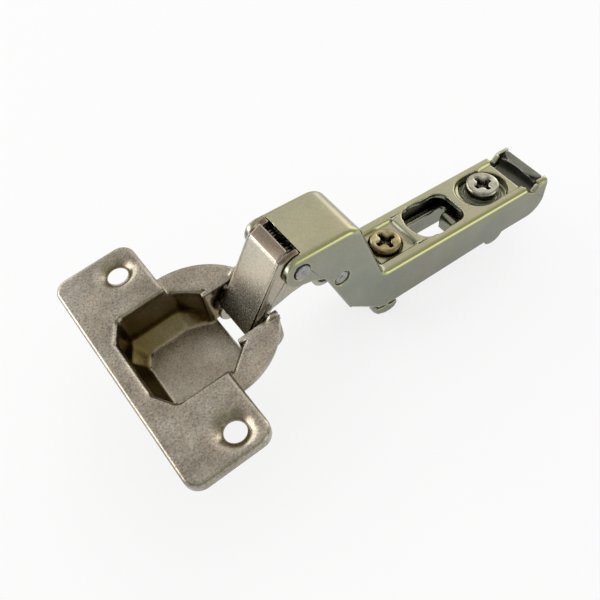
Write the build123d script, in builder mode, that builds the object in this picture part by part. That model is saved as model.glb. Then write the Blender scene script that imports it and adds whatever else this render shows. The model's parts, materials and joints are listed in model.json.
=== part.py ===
from build123d import *
from math import cos, hypot, radians, sin, tan
import os

os.makedirs("parts", exist_ok=True)

# Concealed cup hinge with a clip-on arm, shown fully open. Millimetres.
# The origin is the middle of the adapter's seat on the mounting plate, +X runs to
# the rear of the arm, Y along the hinge pins and +Z away from the cabinet side.

# ---- sheets and fits
running_fit = 0.05
side_gap = 0.2
seat_gap = 0.05

# ---- arm
arm_half_width = 7.7
arm_sheet = 1.5
rail_top = 5.7
rail_depth = 11.9
rail_rear = 31.0
hump_top = 26.0
hump_front = -36.0
crank_foot = -14.1
crank_slope = 68.6
fold_radius = 1.5

# ---- four pivots: two on the arm, two in the cup
outer_pivot_x, outer_pivot_z = hump_front - 0.7, hump_top - 4.2
inner_pivot_x, inner_pivot_z = outer_pivot_x + 10.4, outer_pivot_z - 9.2
cup_tilt = 8.2
cup_x, cup_z = outer_pivot_x - 21.9, outer_pivot_z - 9.1
cup_outer_pin_u, cup_outer_pin_w = 10.0, -9.2
cup_inner_pin_u, cup_inner_pin_w = 13.3, -5.6
arm_pin_radius = 1.5
cup_pin_radius = 1.25
rivet_head_radius = 1.8
rivet_stand = 0.3
sunk_rivet_radius = 1.6
sunk_rivet_depth = 0.25
rivet_seat_depth = 0.8

# ---- cup
cup_sheet = 1.1
cup_radius = 17.4
flange_length = 59.8
flange_left = -19.2
flange_corner = 3.4
rim_depth = 2.6
screw_row = -6.0
screw_pitch = 48.0
screw_hole_radius = 2.35
dish_radius = 4.3
dish_shoulder = 1.1
pocket_corner = 2.0
crescent_drop = 2.0
pocket_depth = 12.1
pocket_half = 12.4
pocket_left = -14.5
pocket_bevel = 2.9
floor_rear = 6.75
ear_rear = 15.4
ear_bottom = -12.3

# ---- links
outer_link_half = arm_half_width - arm_sheet - side_gap
outer_link_sheet = 1.3
outer_link_lug = 4.3
cup_lug_radius = 2.9
ear_gap = 0.9
ear_inner = outer_link_half + ear_gap
inner_link_gap = 0.3
inner_link_half = outer_link_half - outer_link_sheet - inner_link_gap
inner_link_sheet = 1.4
slot_shift = 1.1
slot_rise = 0.4
slot_half = 2.15
spring_wire = 0.85
leg_step = 0.04
spring_turns = 3

# ---- adapter, screws and release lever
adapter_half = arm_half_width - arm_sheet - side_gap - running_fit
adapter_sheet = 1.2
adapter_front, adapter_rear = -15.9, 35.6
adapter_bottom = -5.4
hook_depth = 12.7
jaw_height = 1.5
foot_recess = 0.35
side_screw_x = -7.7
side_screw_radius = 3.7
side_screw_rise = 0.5
side_neck_radius = 1.6
side_foot_radius = 3.0
depth_screw_x = 23.0
depth_screw_radius = 4.1
depth_screw_rise = 1.3
depth_shank_radius = 2.0
washer_radius = 5.2
washer_thickness = 0.8
travel_forward, travel_rearward = 1.5, 0.5
rock_gap = 0.3
lever_pivot_x, lever_pivot_z = 33.0, -2.6
lever_pin_radius = 1.2
lever_sheet = 1.2
lever_rise = 8.1
lever_depth = 3.0


def side(x, z, tilt=0.0):
    """Plane seen from the near side: local x runs rearward, local y upward."""
    slope = radians(tilt)
    return Plane(origin=(x, 0, z), x_dir=(cos(slope), 0, sin(slope)), z_dir=(0, -1, 0))


def cup_point(u, w):
    """Place of a point of the tilted cup, u along the flange and w off it."""
    slope = radians(cup_tilt)
    return cup_x + u * cos(slope) - w * sin(slope), cup_z + u * sin(slope) + w * cos(slope)


main = side(0, 0)
cup_slope = radians(cup_tilt)
cup_plane = Plane(
    origin=(cup_x, 0, cup_z),
    x_dir=(cos(cup_slope), 0, sin(cup_slope)),
    z_dir=(-sin(cup_slope), 0, cos(cup_slope)),
)
cup_side = side(cup_x, cup_z, cup_tilt)
cup_outer_pin_x, cup_outer_pin_z = cup_point(cup_outer_pin_u, cup_outer_pin_w)
cup_inner_pin_x, cup_inner_pin_z = cup_point(cup_inner_pin_u, cup_inner_pin_w)


# ================= cup: one pressing =================
dish_depth = 2.4
hole_wall = 0.7
crescent_bottom = crescent_drop + cup_sheet
bevel_top = pocket_depth - pocket_bevel
wall_outline = [
    (pocket_left, -7.6),
    (pocket_left, 7.6),
    (-11.6, pocket_half),
    (0.6, pocket_half),
    (6.0, ear_inner + 1.0),
    (8.2, ear_inner),
    (cup_radius + 2, ear_inner),
    (cup_radius + 2, -ear_inner),
    (8.2, -ear_inner),
    (6.0, -ear_inner - 1.0),
    (0.6, -pocket_half),
    (-11.6, -pocket_half),
]
floor_left = -11.5
floor_half = 9.1
floor_narrow = ear_inner - 1.2
floor_outline = [
    (floor_left, -5.6),
    (floor_left, 5.6),
    (-9.4, floor_half),
    (0.2, floor_half),
    (5.6, floor_narrow + 1.1),
    (8.2, floor_narrow),
    (cup_radius + 2, floor_narrow),
    (cup_radius + 2, -floor_narrow),
    (8.2, -floor_narrow),
    (5.6, -floor_narrow - 1.1),
    (0.2, -floor_half),
    (-9.4, -floor_half),
]
ear_tip = (1.5, 0.9)
ear_outline = [
    (floor_rear - 1.2, -crescent_drop - 0.3),
    (ear_rear - 2 * ear_tip[0], -crescent_drop - 0.3),
    (ear_rear - ear_tip[0], -ear_tip[1]),
    (ear_rear, -ear_tip[1]),
    (ear_rear, ear_bottom),
    (floor_rear - 1.2, ear_bottom),
]


def rounded_corners(outline):
    """Corners of a pocket outline that are pressed round, all but those between the ears."""
    return outline.vertices().filter_by(lambda corner: corner.X < 7)


with BuildPart() as pocket:
    with BuildSketch(cup_plane.offset(rim_depth)) as mouth:
        with BuildLine():
            Polyline(*wall_outline, close=True)
        make_face()
        fillet(rounded_corners(mouth), pocket_corner)
    extrude(amount=-bevel_top - rim_depth)
    with BuildSketch(cup_plane.offset(-bevel_top)) as pocket_foot:
        with BuildLine():
            Polyline(*wall_outline, close=True)
        make_face()
        fillet(rounded_corners(pocket_foot), pocket_corner)
    with BuildSketch(cup_plane.offset(-pocket_depth)) as pocket_floor:
        with BuildLine():
            Polyline(*floor_outline, close=True)
        make_face()
        fillet(rounded_corners(pocket_floor), pocket_corner)
    loft()

with BuildPart() as cup:
    with BuildSketch(cup_plane) as plate:
        with Locations((flange_left / 2, 0)):
            RectangleRounded(-flange_left, flange_length, flange_corner)
    extrude(amount=-rim_depth)
    fillet(cup.faces().sort_by(Axis(cup_plane.origin, cup_plane.z_dir))[-1].edges(), 1.0)
    with BuildSketch(cup_plane.offset(-rim_depth)) as hollow:
        with Locations((flange_left / 2, 0)):
            RectangleRounded(
                -flange_left - 2 * cup_sheet, flange_length - 2 * cup_sheet, flange_corner - cup_sheet
            )
    extrude(amount=rim_depth - cup_sheet, mode=Mode.SUBTRACT)
    for way in (-1, 1):
        hole_x, hole_z = cup_point(screw_row, 0)
        hole_axis = Axis((hole_x, -way * screw_pitch / 2, hole_z), cup_plane.z_dir)
        with BuildSketch(cup_side.offset(way * screw_pitch / 2)) as funnel:
            with Locations((screw_row, 0)):
                Polygon(
                    (0, -cup_sheet / 2), (dish_radius + dish_shoulder, -cup_sheet / 2),
                    (dish_radius + 0.7, -cup_sheet - 0.3), (screw_hole_radius + 0.9, -dish_depth),
                    (0, -dish_depth), align=None,
                )
        revolve(axis=hole_axis)
        with BuildSketch(cup_side.offset(way * screw_pitch / 2)) as dish:
            with Locations((screw_row, 0)):
                Polygon(
                    (0, 0.5), (dish_radius + dish_shoulder, 0.5), (dish_radius + dish_shoulder, 0),
                    (dish_radius + 0.3, -0.2), (dish_radius - 0.4, -0.55), (screw_hole_radius, hole_wall - dish_depth),
                    (screw_hole_radius, -2 * dish_depth),
                    (0, -2 * dish_depth), align=None,
                )
        revolve(axis=hole_axis, mode=Mode.SUBTRACT)
    with BuildSketch(cup_plane.offset(-crescent_drop)) as crescents:
        Circle(cup_radius)
        with Locations((-cup_radius - cup_sheet, 0)):
            Rectangle(2 * cup_radius, 2 * cup_radius, mode=Mode.SUBTRACT)
    extrude(amount=-cup_sheet)
    with BuildSketch(cup_plane.offset(-cup_sheet)) as shell:
        with BuildLine():
            Polyline(*wall_outline, close=True)
        make_face()
        fillet(rounded_corners(shell), pocket_corner)
        offset(amount=cup_sheet, kind=Kind.INTERSECTION)
        with Locations((floor_rear + ear_rear, 0)):
            Rectangle(2 * ear_rear, 4 * pocket_half, mode=Mode.SUBTRACT)
    extrude(amount=-(bevel_top - cup_sheet))
    with BuildSketch(cup_plane.offset(-bevel_top)) as shell_foot:
        with BuildLine():
            Polyline(*wall_outline, close=True)
        make_face()
        fillet(rounded_corners(shell_foot), pocket_corner)
        offset(amount=cup_sheet, kind=Kind.INTERSECTION)
    with BuildSketch(cup_plane.offset(-pocket_depth - cup_sheet)) as shell_base:
        with BuildLine():
            Polyline(*floor_outline, close=True)
        make_face()
        fillet(rounded_corners(shell_base), pocket_corner)
        offset(amount=cup_sheet / 2, kind=Kind.INTERSECTION)
    loft()
    with BuildSketch(cup_side) as behind_floor:
        with Locations((floor_rear + ear_rear, -crescent_bottom - pocket_depth)):
            Rectangle(2 * ear_rear, 2 * pocket_depth)
    extrude(amount=2 * cup_radius, both=True, mode=Mode.SUBTRACT)
    with BuildSketch(cup_plane.offset(-crescent_drop)) as above_crescents:
        with Locations((cup_radius, 0)):
            Rectangle(2 * cup_radius, 4 * cup_radius)
    extrude(amount=rim_depth, mode=Mode.SUBTRACT)
    add(pocket.part, mode=Mode.SUBTRACT)
    for level, reach_from in ((0, -2 * cup_radius), (-crescent_drop, 0.2)):
        for flare, drop, slope in ((1.3, 0.4, 60), (0.6, 1.0, 31)):
            with BuildSketch(cup_plane.offset(level + (0 if flare > 1 else -0.4))) as lip:
                with BuildLine():
                    Polyline(*wall_outline, close=True)
                make_face()
                fillet(rounded_corners(lip), pocket_corner)
                offset(amount=flare, kind=Kind.INTERSECTION)
                with Locations((reach_from - 2 * cup_radius, 0)):
                    Rectangle(4 * cup_radius, 4 * cup_radius, mode=Mode.SUBTRACT)
            extrude(amount=-drop, taper=slope, mode=Mode.SUBTRACT)
    for way in (-1, 1):
        with BuildSketch(cup_side.offset(way * ear_inner)) as ear:
            with BuildLine():
                Polyline(*ear_outline, close=True)
            make_face()
            fillet(ear.vertices().group_by(Axis.Y)[0].sort_by(Axis.X)[-1], 3.4)
            with Locations((cup_outer_pin_u, cup_outer_pin_w), (cup_inner_pin_u, cup_inner_pin_w)):
                Circle(cup_pin_radius, mode=Mode.SUBTRACT)
        extrude(amount=way * cup_sheet)

cup.part.label = "cup"
export_step(cup.part, "parts/cup.step")


# ================= pins through the cup's ears =================
cup_pins = {
    "cup_front_pin": (cup_outer_pin_x, cup_outer_pin_z),
    "cup_rear_pin": (cup_inner_pin_x, cup_inner_pin_z),
}
for pin_name, (pin_x, pin_z) in cup_pins.items():
    with BuildPart() as cup_pin:
        with BuildSketch(side(pin_x, pin_z)) as pin_section:
            Circle(cup_pin_radius)
        extrude(amount=ear_inner + cup_sheet, both=True)
        chamfer(cup_pin.edges().filter_by(GeomType.CIRCLE), 0.2)
    cup_pin.part.label = pin_name
    export_step(cup_pin.part, f"parts/{pin_name}.step")


# ================= arm: one long folded pressing =================
slope_run = (hump_top - rail_top) / tan(radians(crank_slope))
crank_top = crank_foot - slope_run
bend_shift = arm_sheet * tan(radians(crank_slope) / 2)
ceiling = rail_top - arm_sheet
wall_bottom = rail_top - rail_depth
lug_radius = 4.0
screw_pocket_depth = 0.9
window_rear = 13.7
bowl_depth = 0.8
floor_bottom = adapter_sheet + rock_gap
floor_top = floor_bottom + 1.2
cup_front = depth_screw_x - washer_radius - travel_rearward - side_gap
cup_rear = depth_screw_x + washer_radius + travel_forward + side_gap
wall_outline_arm = [
    (hump_front, hump_top + 2),
    (38.3, hump_top + 2),
    (38.3, -4.9),
    (27.0, -4.9),
    (18.5, -5.2),
    (-10.0, wall_bottom - 0.3),
    (-14.5, wall_bottom),
    (-24.0, 1.0),
    (-30.9, 15.6),
    (outer_pivot_x + 2.3, outer_pivot_z - 4.5),
    (outer_pivot_x, outer_pivot_z - lug_radius),
    (outer_pivot_x - 1, outer_pivot_z),
]

with BuildPart() as arm:
    with BuildSketch(main) as block:
        with BuildLine():
            top_line = FilletPolyline(
                (-45, hump_top), (crank_top, hump_top), (crank_foot, rail_top), (45, rail_top),
                radius=[5.0, 2.0],
            )
            Polyline(top_line @ 1, (45, -20), (-45, -20), top_line @ 0)
        make_face()
    extrude(amount=arm_half_width, both=True)
    fold_edges = [
        edge for edge in arm.edges()
        if abs(abs(edge.center().Y) - arm_half_width) < 0.01
        and edge.center().Z > rail_top - 0.1
        and abs(edge.center().X) < 44
    ]
    fillet(fold_edges, fold_radius)
    with BuildSketch(main) as side_wall:
        with BuildLine():
            Polyline(*wall_outline_arm, close=True)
        make_face()
        rear_corner = side_wall.vertices().sort_by_distance((38.3, -4.9, 0))[0]
        fillet(rear_corner, 5.0)
        fillet(side_wall.vertices().sort_by_distance((-30.9, 15.6, 0))[0], 2.0)
        fillet(side_wall.vertices().sort_by_distance((-24.0, 1.0, 0))[0], 1.5)
        with Locations((outer_pivot_x, outer_pivot_z)):
            Circle(lug_radius)
        with Locations((21.7, -3.9)):
            Circle(3.2)
    extrude(amount=2 * arm_half_width, both=True, mode=Mode.INTERSECT)
    with BuildSketch(main) as inside:
        with BuildLine():
            under_line = FilletPolyline(
                (-45, hump_top - arm_sheet), (crank_top - bend_shift, hump_top - arm_sheet),
                (crank_foot - bend_shift, ceiling), (rail_rear, ceiling), (rail_rear, 40),
                radius=[3.5, 3.5, 0.01],
            )
            Polyline(under_line @ 1, (45, 40), (45, -20), (-45, -20), under_line @ 0)
        make_face()
        with Locations((hump_front - 10, hump_top)):
            Rectangle(20, 20)
    extrude(amount=arm_half_width - arm_sheet, both=True, mode=Mode.SUBTRACT)
    with BuildSketch(main) as ear_notch:
        with BuildLine():
            Polyline((rail_rear, 8), (rail_rear + 0.5, 4.6), (33.9, 3.0), (35.3, 4.7), (35.6, 8), close=True)
        make_face()
    extrude(amount=2 * arm_half_width, both=True, mode=Mode.SUBTRACT)
    with BuildSketch(Plane.XY.offset(ceiling)) as pocket_back:
        with Locations(((crank_foot - 2.5) / 2, 0)):
            RectangleRounded(-crank_foot - 0.5, 11.6, 1.2)
    extrude(amount=-screw_pocket_depth)
    with BuildSketch(Plane.XY.offset(rail_top)) as screw_pocket:
        with Locations(((crank_foot - 1.2) / 2, 0)):
            RectangleRounded(-crank_foot - 2.4, 10.2, 0.8)
    extrude(amount=-screw_pocket_depth, taper=35, mode=Mode.SUBTRACT)
    with BuildSketch(Plane.XY.offset(ceiling)) as bowl_back:
        with Locations(((cup_front + rail_rear) / 2 - 1.2, 0)):
            RectangleRounded(rail_rear - cup_front + 2.4, 11.8, 1.0)
    extrude(amount=-bowl_depth)
    with BuildSketch(Plane.XY.offset(floor_bottom)) as cup_back:
        with Locations(((cup_front + cup_rear) / 2, 0)):
            SlotOverall(cup_rear - cup_front + 1.6, 2 * washer_radius + 2 * side_gap + 1.4)
    extrude(amount=ceiling - floor_bottom)
    with BuildSketch(Plane.XY.offset(rail_top)) as bowl:
        with Locations((15.6 + 15.0, 0)):
            SlotOverall(30.0, 11.0)
    extrude(amount=-bowl_depth, taper=30, mode=Mode.SUBTRACT)
    with BuildSketch(Plane.XY.offset(floor_top)) as washer_seat:
        with Locations(((cup_front + cup_rear) / 2, 0)):
            SlotOverall(cup_rear - cup_front, 2 * washer_radius + 2 * side_gap)
    extrude(amount=10, mode=Mode.SUBTRACT)
    with BuildSketch(Plane.XY) as through_cuts:
        with Locations((side_screw_x, 0)):
            Circle(side_screw_radius + 2 * side_gap)
        with Locations((depth_screw_x + (travel_forward - travel_rearward) / 2, 0)):
            SlotOverall(
                2 * depth_shank_radius + travel_forward + travel_rearward + 2 * side_gap,
                2 * (depth_shank_radius + side_gap),
            )
        with Locations((5.1, 0)):
            Circle(5.7)
        with Locations((window_rear / 2, 0)):
            RectangleRounded(window_rear, 10.6, 3.0)
    extrude(amount=10, mode=Mode.SUBTRACT)
    for way in (-1, 1):
        with BuildSketch(main.offset(way * arm_half_width)) as rivet_seats:
            with Locations((outer_pivot_x, outer_pivot_z)):
                Circle(rivet_head_radius + side_gap)
            with Locations((inner_pivot_x, inner_pivot_z)):
                Circle(sunk_rivet_radius + 2 * side_gap)
        extrude(amount=-way * rivet_seat_depth, mode=Mode.SUBTRACT)
    with BuildSketch(main) as rivet_holes:
        with Locations((outer_pivot_x, outer_pivot_z), (inner_pivot_x, inner_pivot_z)):
            Circle(arm_pin_radius)
    extrude(amount=2 * arm_half_width, both=True, mode=Mode.SUBTRACT)

arm.part.label = "arm"
export_step(arm.part, "parts/arm.step")


# ================= rivets and bushes in the arm =================
rivet_seat = arm_half_width - rivet_seat_depth
arm_rivets = {
    "outer_link_rivet": (outer_pivot_x, outer_pivot_z, rivet_head_radius, rivet_stand),
    "inner_link_rivet": (inner_pivot_x, inner_pivot_z, sunk_rivet_radius, -sunk_rivet_depth),
}
for rivet_name, (rivet_x, rivet_z, head_radius, head_stand) in arm_rivets.items():
    with BuildPart() as rivet:
        with BuildSketch(side(rivet_x, rivet_z)) as shank:
            Circle(arm_pin_radius)
        extrude(amount=rivet_seat, both=True)
        for way in (-1, 1):
            with BuildSketch(side(rivet_x, rivet_z).offset(way * rivet_seat)) as head:
                Circle(head_radius)
            extrude(amount=way * (rivet_seat_depth + head_stand))
        chamfer(rivet.edges().filter_by(GeomType.CIRCLE).group_by(Axis.Y)[0], 0.2)
        chamfer(rivet.edges().filter_by(GeomType.CIRCLE).group_by(Axis.Y)[-1], 0.2)
        for way in (-1, 1):
            with BuildSketch(side(rivet_x, rivet_z).offset(way * (arm_half_width + head_stand))) as punch_mark:
                Circle(0.45)
            extrude(amount=-way * 0.3, mode=Mode.SUBTRACT)
    rivet.part.label = rivet_name
    export_step(rivet.part, f"parts/{rivet_name}.step")

bush_length = arm_half_width - arm_sheet - inner_link_half - 2 * running_fit
for way, bush_name in ((1, "near_bush"), (-1, "far_bush")):
    bush_plane = side(inner_pivot_x, inner_pivot_z).offset(way * (inner_link_half + running_fit))
    with BuildPart() as bush:
        with BuildSketch(bush_plane) as ring:
            Circle(2.6)
            Circle(arm_pin_radius + running_fit, mode=Mode.SUBTRACT)
        extrude(amount=way * bush_length)
    bush.part.label = bush_name
    export_step(bush.part, f"parts/{bush_name}.step")


# ================= outer link: folded channel =================
link_span = hypot(outer_pivot_x - cup_outer_pin_x, outer_pivot_z - cup_outer_pin_z)
link_run = (outer_pivot_x - cup_outer_pin_x, 0, outer_pivot_z - cup_outer_pin_z)
link_side = Plane(origin=(cup_outer_pin_x, 0, cup_outer_pin_z), x_dir=link_run, z_dir=(0, -1, 0))
web_foot = (0.76, 3.05)
web_bend = (link_span + 0.6, 5.27)
flap_tip = (web_bend[0] + 2.66, web_bend[1] - 0.95)
web_wall = [
    web_foot,
    (web_bend[0] - 0.3, web_bend[1] - 0.03),
    (link_span + 1.5, outer_link_lug - 0.3),
    (link_span, -outer_link_lug),
    (link_span - 5.0, -outer_link_lug),
    (link_span - 7.0, -outer_link_lug / 2),
    (link_span - 9.4, -0.3),
    (link_span - 12.0, 2.1),
    (4.3, 2.0),
    (2.6, 1.4),
    (0.0, 0.5),
]
inner_face = [
    (web_foot[0], outer_link_lug),
    (web_foot[0], web_foot[1] - outer_link_sheet - 0.45),
    (web_bend[0] - 0.3, web_bend[1] - outer_link_sheet),
    (flap_tip[0] + 3, web_bend[1] - outer_link_sheet - 1.15),
    (flap_tip[0] + 3, -12),
    (web_foot[0] - 8, -12),
    (web_foot[0] - 8, outer_link_lug),
]

with BuildPart() as outer_link:
    with BuildSketch(link_side) as wall:
        with BuildLine():
            Polyline(*web_wall, close=True)
        make_face()
        with Locations((link_span, 0)):
            Circle(outer_link_lug)
        Circle(cup_lug_radius)
    extrude(amount=outer_link_half, both=True)
    long_edges = [
        edge for edge in outer_link.edges().filter_by(GeomType.LINE)
        if abs(abs(edge.center().Y) - outer_link_half) < 0.01 and edge.length > 0.9 * link_span
    ]
    fillet(long_edges, 1.2)
    with BuildSketch(link_side) as flap:
        with BuildLine():
            Polyline(
                (web_bend[0] - 0.6, web_bend[1] - 0.05), web_bend, flap_tip,
                (flap_tip[0] - 0.44, flap_tip[1] - 1.23),
                (web_bend[0] - 0.6, web_bend[1] - outer_link_sheet - 0.05), close=True,
            )
        make_face()
    extrude(amount=outer_link_half - outer_link_sheet, both=True)
    with BuildSketch(link_side) as inside:
        with BuildLine():
            Polyline(*inner_face, close=True)
        make_face()
    extrude(amount=outer_link_half - outer_link_sheet, both=True, mode=Mode.SUBTRACT)
    with BuildSketch(main) as under_hump:
        with BuildLine():
            Polyline(
                (hump_front - 0.3, hump_top + 5), (hump_front - 0.3, hump_top - arm_sheet - 0.3),
                (outer_pivot_x + 0.6, hump_top - arm_sheet - 0.3), (outer_pivot_x + 5, outer_pivot_z + 1.3),
                (outer_pivot_x + 5, hump_top + 5), close=True,
            )
        make_face()
    extrude(amount=2 * outer_link_half, both=True, mode=Mode.SUBTRACT)
    with BuildSketch(link_side) as pin_holes:
        Circle(cup_pin_radius + running_fit)
        with Locations((link_span, 0)):
            Circle(arm_pin_radius + running_fit)
    extrude(amount=2 * outer_link_half, both=True, mode=Mode.SUBTRACT)

outer_link.part.label = "outer_link"
export_step(outer_link.part, "parts/outer_link.step")


# ================= inner link: arched channel, slotted at the arm =================
reach_run = (inner_pivot_x - cup_inner_pin_x, 0, inner_pivot_z - cup_inner_pin_z)
reach = hypot(reach_run[0], reach_run[2])
inner_side = Plane(origin=(cup_inner_pin_x, 0, cup_inner_pin_z), x_dir=reach_run, z_dir=(0, -1, 0))
slot_centre = (reach - slot_shift, slot_rise)
slot_eye = slot_half + 1.2
eye_radius = 2.05

with BuildPart() as inner_link:
    with BuildSketch(inner_side) as banana:
        with BuildLine():
            low = ThreePointArc((1.6, 0.4), (0.48 * reach, 3.0), (reach - 2.6, 0.2))
            back = Line(low @ 1, (reach - 1.2, 3.4))
            high = ThreePointArc(back @ 1, (0.48 * reach, 6.6), (-0.3, eye_radius - 0.02))
            Line(high @ 1, low @ 0)
        make_face()
        Circle(eye_radius)
        with Locations(slot_centre):
            SlotOverall(2 * slot_shift + 2 * slot_eye, 2 * slot_eye)
    extrude(amount=inner_link_half, both=True)
    with BuildSketch(inner_side) as channel:
        with BuildLine():
            roof = ThreePointArc((reach + 6, 1.6), (0.48 * reach, 6.6 - inner_link_sheet), (-6, 0.2))
            Polyline(roof @ 1, (-6, -8), (reach + 6, -8), roof @ 0)
        make_face()
    extrude(amount=inner_link_half - inner_link_sheet, both=True, mode=Mode.SUBTRACT)
    with BuildSketch(inner_side) as inner_holes:
        Circle(cup_pin_radius + running_fit)
        with Locations(slot_centre):
            SlotOverall(2 * slot_shift + 2 * slot_half - slot_rise, 2 * slot_half)
    extrude(amount=2 * inner_link_half, both=True, mode=Mode.SUBTRACT)

inner_link.part.label = "inner_link"
export_step(inner_link.part, "parts/inner_link.step")


# ================= torsion spring round the outer pivot =================
coil_radius = arm_pin_radius + 0.2 + spring_wire / 2
coil_pitch = 0.88 * spring_wire
coil_outer = outer_link_half - outer_link_sheet - 0.12 - spring_wire / 2
coil_inner = coil_outer - (spring_turns - 1) * coil_pitch
bridge_reach = web_bend[1] - outer_link_sheet - spring_wire / 2 - 0.75

with BuildPart() as torsion_spring:
    for way in (-1, 1):
        with BuildSketch(Plane.XY.offset(outer_pivot_z)) as wire:
            with Locations((outer_pivot_x + coil_radius, way * (coil_outer + coil_inner) / 2)):
                with GridLocations(0, coil_pitch, 1, spring_turns):
                    RegularPolygon(spring_wire / 2, 8, rotation=22.5)
        revolve(axis=Axis((outer_pivot_x, 0, outer_pivot_z), (0, 1, 0)))
        with BuildSketch(Plane(
            link_side.from_local_coords((link_span + coil_radius, 0, way * coil_inner)),
            z_dir=link_side.y_dir,
        )) as bridge_leg:
            Circle(spring_wire / 2 - leg_step)
        extrude(amount=bridge_reach)
        with BuildSketch(Plane(
            link_side.from_local_coords((link_span - coil_radius, 0, way * coil_outer)),
            z_dir=-link_side.y_dir,
        )) as free_leg:
            Circle(spring_wire / 2 - leg_step)
        extrude(amount=4.0)
    with BuildSketch(link_side) as bridge:
        with Locations((link_span + coil_radius, bridge_reach)):
            Circle(spring_wire / 2)
    extrude(amount=coil_inner + spring_wire / 2, both=True)

torsion_spring.part.label = "torsion_spring"
export_step(torsion_spring.part, "parts/torsion_spring.step")


# ================= adapter: inner channel that clips on the plate =================
hook_outline = [
    (-13.0, adapter_sheet),
    (27.5, adapter_sheet),
    (29.5, 0.3),
    (lever_pivot_x + 0.2, 0.2),
    (adapter_rear, -1.5),
    (adapter_rear, -3.4),
    (adapter_rear - 2.0, adapter_bottom),
    (-7.0, adapter_bottom),
    (-8.0, -8.2),
    (-7.6, -hook_depth + 1.6),
    (-8.3, -hook_depth + 0.4),
    (-9.6, -hook_depth),
    (-11.2, -hook_depth),
    (-13.5, -hook_depth + 1.0),
    (-14.8, -hook_depth + 2.6),
    (adapter_front + 0.4, -8.8),
    (adapter_front, -6.4),
    (adapter_front, -3.6),
]
jaw_level = -hook_depth + 3.4
web_window_front, web_window_rear = 2.2, 14.2
tongue_front = 11.9
tongue_drop = 3.4
tongue_half = 2.2

recess_rear = side_screw_x + side_foot_radius + travel_rearward
neck_slot_front = side_screw_x - side_neck_radius - travel_forward - 2 * side_gap
neck_slot_rear = side_screw_x + side_neck_radius + travel_rearward + 2 * side_gap

with BuildPart() as adapter:
    with BuildSketch(main) as adapter_side:
        with BuildLine():
            Polyline(*hook_outline, close=True)
        make_face()
        with Locations((-7.0, jaw_level)):
            SlotOverall(2 * 3.4, jaw_height, rotation=12, mode=Mode.SUBTRACT)
        with Locations((-12.7, jaw_level - 0.3)):
            SlotOverall(2.9, 0.7, rotation=-12, mode=Mode.SUBTRACT)
        with Locations((lever_pivot_x, lever_pivot_z)):
            Circle(lever_pin_radius, mode=Mode.SUBTRACT)
    extrude(amount=adapter_half, both=True)
    with BuildSketch(main) as channel_inside:
        with BuildLine():
            Polyline(
                (-30, foot_recess), (recess_rear, foot_recess), (recess_rear, 0), (27.5, 0), (27.5, 10),
                (45, 10), (45, -20), (-30, -20), close=True,
            )
        make_face()
    extrude(amount=adapter_half - adapter_sheet, both=True, mode=Mode.SUBTRACT)
    with BuildSketch(Plane.XY) as boss:
        with Locations((depth_screw_x, 0)):
            Circle(3.4)
    extrude(amount=-1.6)
    with BuildSketch(Plane.XY.offset(-4)) as web_cuts:
        with Locations(((web_window_front + web_window_rear) / 2, 0)):
            RectangleRounded(web_window_rear - web_window_front, 8.0, 1.2)
        with Locations(((neck_slot_front + neck_slot_rear) / 2, 0)):
            SlotOverall(neck_slot_rear - neck_slot_front, 2 * side_neck_radius + 2 * side_gap)
        with Locations((depth_screw_x, 0)):
            Circle(depth_shank_radius + running_fit)
    extrude(amount=8, mode=Mode.SUBTRACT)
    with BuildSketch(main) as tongue:
        with BuildLine():
            tongue_top = FilletPolyline(
                (web_window_rear + 0.4, adapter_sheet), (tongue_front, adapter_sheet), (tongue_front, -tongue_drop),
                radius=1.6,
            )
            tongue_back = FilletPolyline(
                (tongue_front + adapter_sheet, -tongue_drop), (tongue_front + adapter_sheet, 0),
                (web_window_rear + 0.4, 0), radius=0.4,
            )
            Line(tongue_top @ 1, tongue_back @ 0)
            Line(tongue_back @ 1, tongue_top @ 0)
        make_face()
    extrude(amount=tongue_half, both=True)
    fold_lines = [
        edge for edge in adapter.edges().filter_by(GeomType.LINE)
        if abs(abs(edge.center().Y) - adapter_half) < 0.01 and abs(edge.center().Z - adapter_sheet) < 0.01
    ]
    fillet(fold_lines, 1.0)

adapter.part.label = "adapter"
export_step(adapter.part, "parts/adapter.step")


# ================= side adjusting screw: threaded body, neck and foot =================
side_screw_top = rail_top + side_screw_rise
side_screw_under = adapter_sheet + 1.35
foot_gap = 1.3

with BuildPart() as side_screw:
    with BuildSketch(Plane.XY.offset(side_screw_under)) as screw_body:
        with Locations((side_screw_x, 0)):
            Circle(side_screw_radius)
    extrude(amount=side_screw_top - side_screw_under)
    chamfer(side_screw.faces().sort_by(Axis.Z)[-1].edges(), 0.35)
    with BuildSketch(Plane.XY.offset(side_screw_under)) as neck:
        with Locations((side_screw_x, 0)):
            Circle(side_neck_radius)
    extrude(amount=-(side_screw_under + foot_gap))
    with BuildSketch(Plane.XY.offset(-foot_gap)) as foot:
        with Locations((side_screw_x, 0)):
            Circle(side_foot_radius)
    extrude(amount=-1.0)
    with BuildSketch(Plane.XY.offset(side_screw_top)) as cross:
        with Locations((side_screw_x, 0)):
            Rectangle(5.2, 1.3)
            Rectangle(1.3, 5.2)
            Circle(1.35)
    extrude(amount=-2.0, taper=14, mode=Mode.SUBTRACT)

side_screw.part.label = "side_screw"
export_step(side_screw.part, "parts/side_screw.step")


# ================= toothed washer under the depth screw =================
washer_bottom = floor_top + seat_gap
washer_top = washer_bottom + washer_thickness
tooth_count = 60
tooth_length = 1.2

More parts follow.
